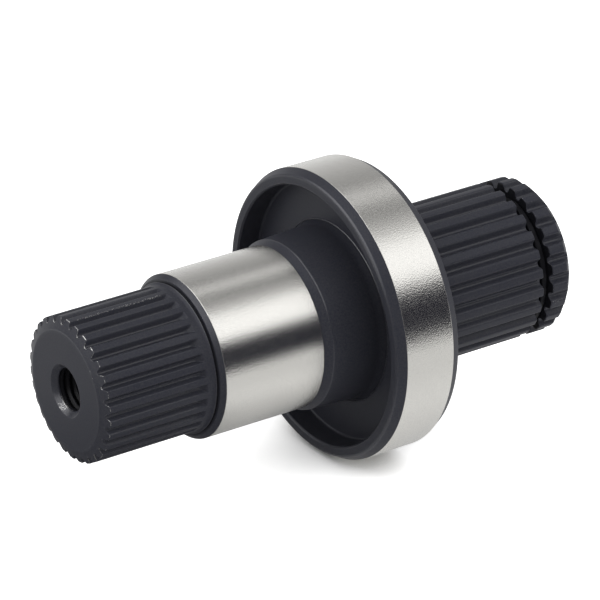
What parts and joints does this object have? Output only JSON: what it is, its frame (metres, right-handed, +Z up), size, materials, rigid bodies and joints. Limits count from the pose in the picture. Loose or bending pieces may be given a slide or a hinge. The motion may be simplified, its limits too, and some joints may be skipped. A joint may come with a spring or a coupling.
{
  "type": "intermediate drive shaft",
  "caption": "Blackened steel intermediate drive shaft: splined ends, ground bearing journal, pressed-on seal cup with a ground rim, threaded front end and a snap ring on the rear spline.",
  "frame": {"origin": "on the shaft's axis, in the middle of the ground bearing journal", "axes": "+X along the axis from the threaded front end to the rear spline, +Z up, +Y to the left when looking along +X"},
  "size_m": [0.1322, 0.072, 0.072],
  "materials": {
    "blackened_shaft_steel": "black oxide, satin, with a ground bright journal",
    "blackened_cup_steel": "black oxide, satin, with a ground bright rim",
    "spring_steel": "oiled black spring wire"
  },
  "bodies": {
    "shaft": {"intermediate_shaft": "blackened_shaft_steel", "seal_cup": "blackened_cup_steel"},
    "retaining_ring": {"snap_ring": "spring_steel"}
  },
  "joints": [
    {"name": "snap_ring_turn", "type": "hinge", "parent": "shaft", "child": "retaining_ring", "pos_m": [0.07965, 0, 0], "axis": [1, 0, 0], "continuous": true}
  ]
}
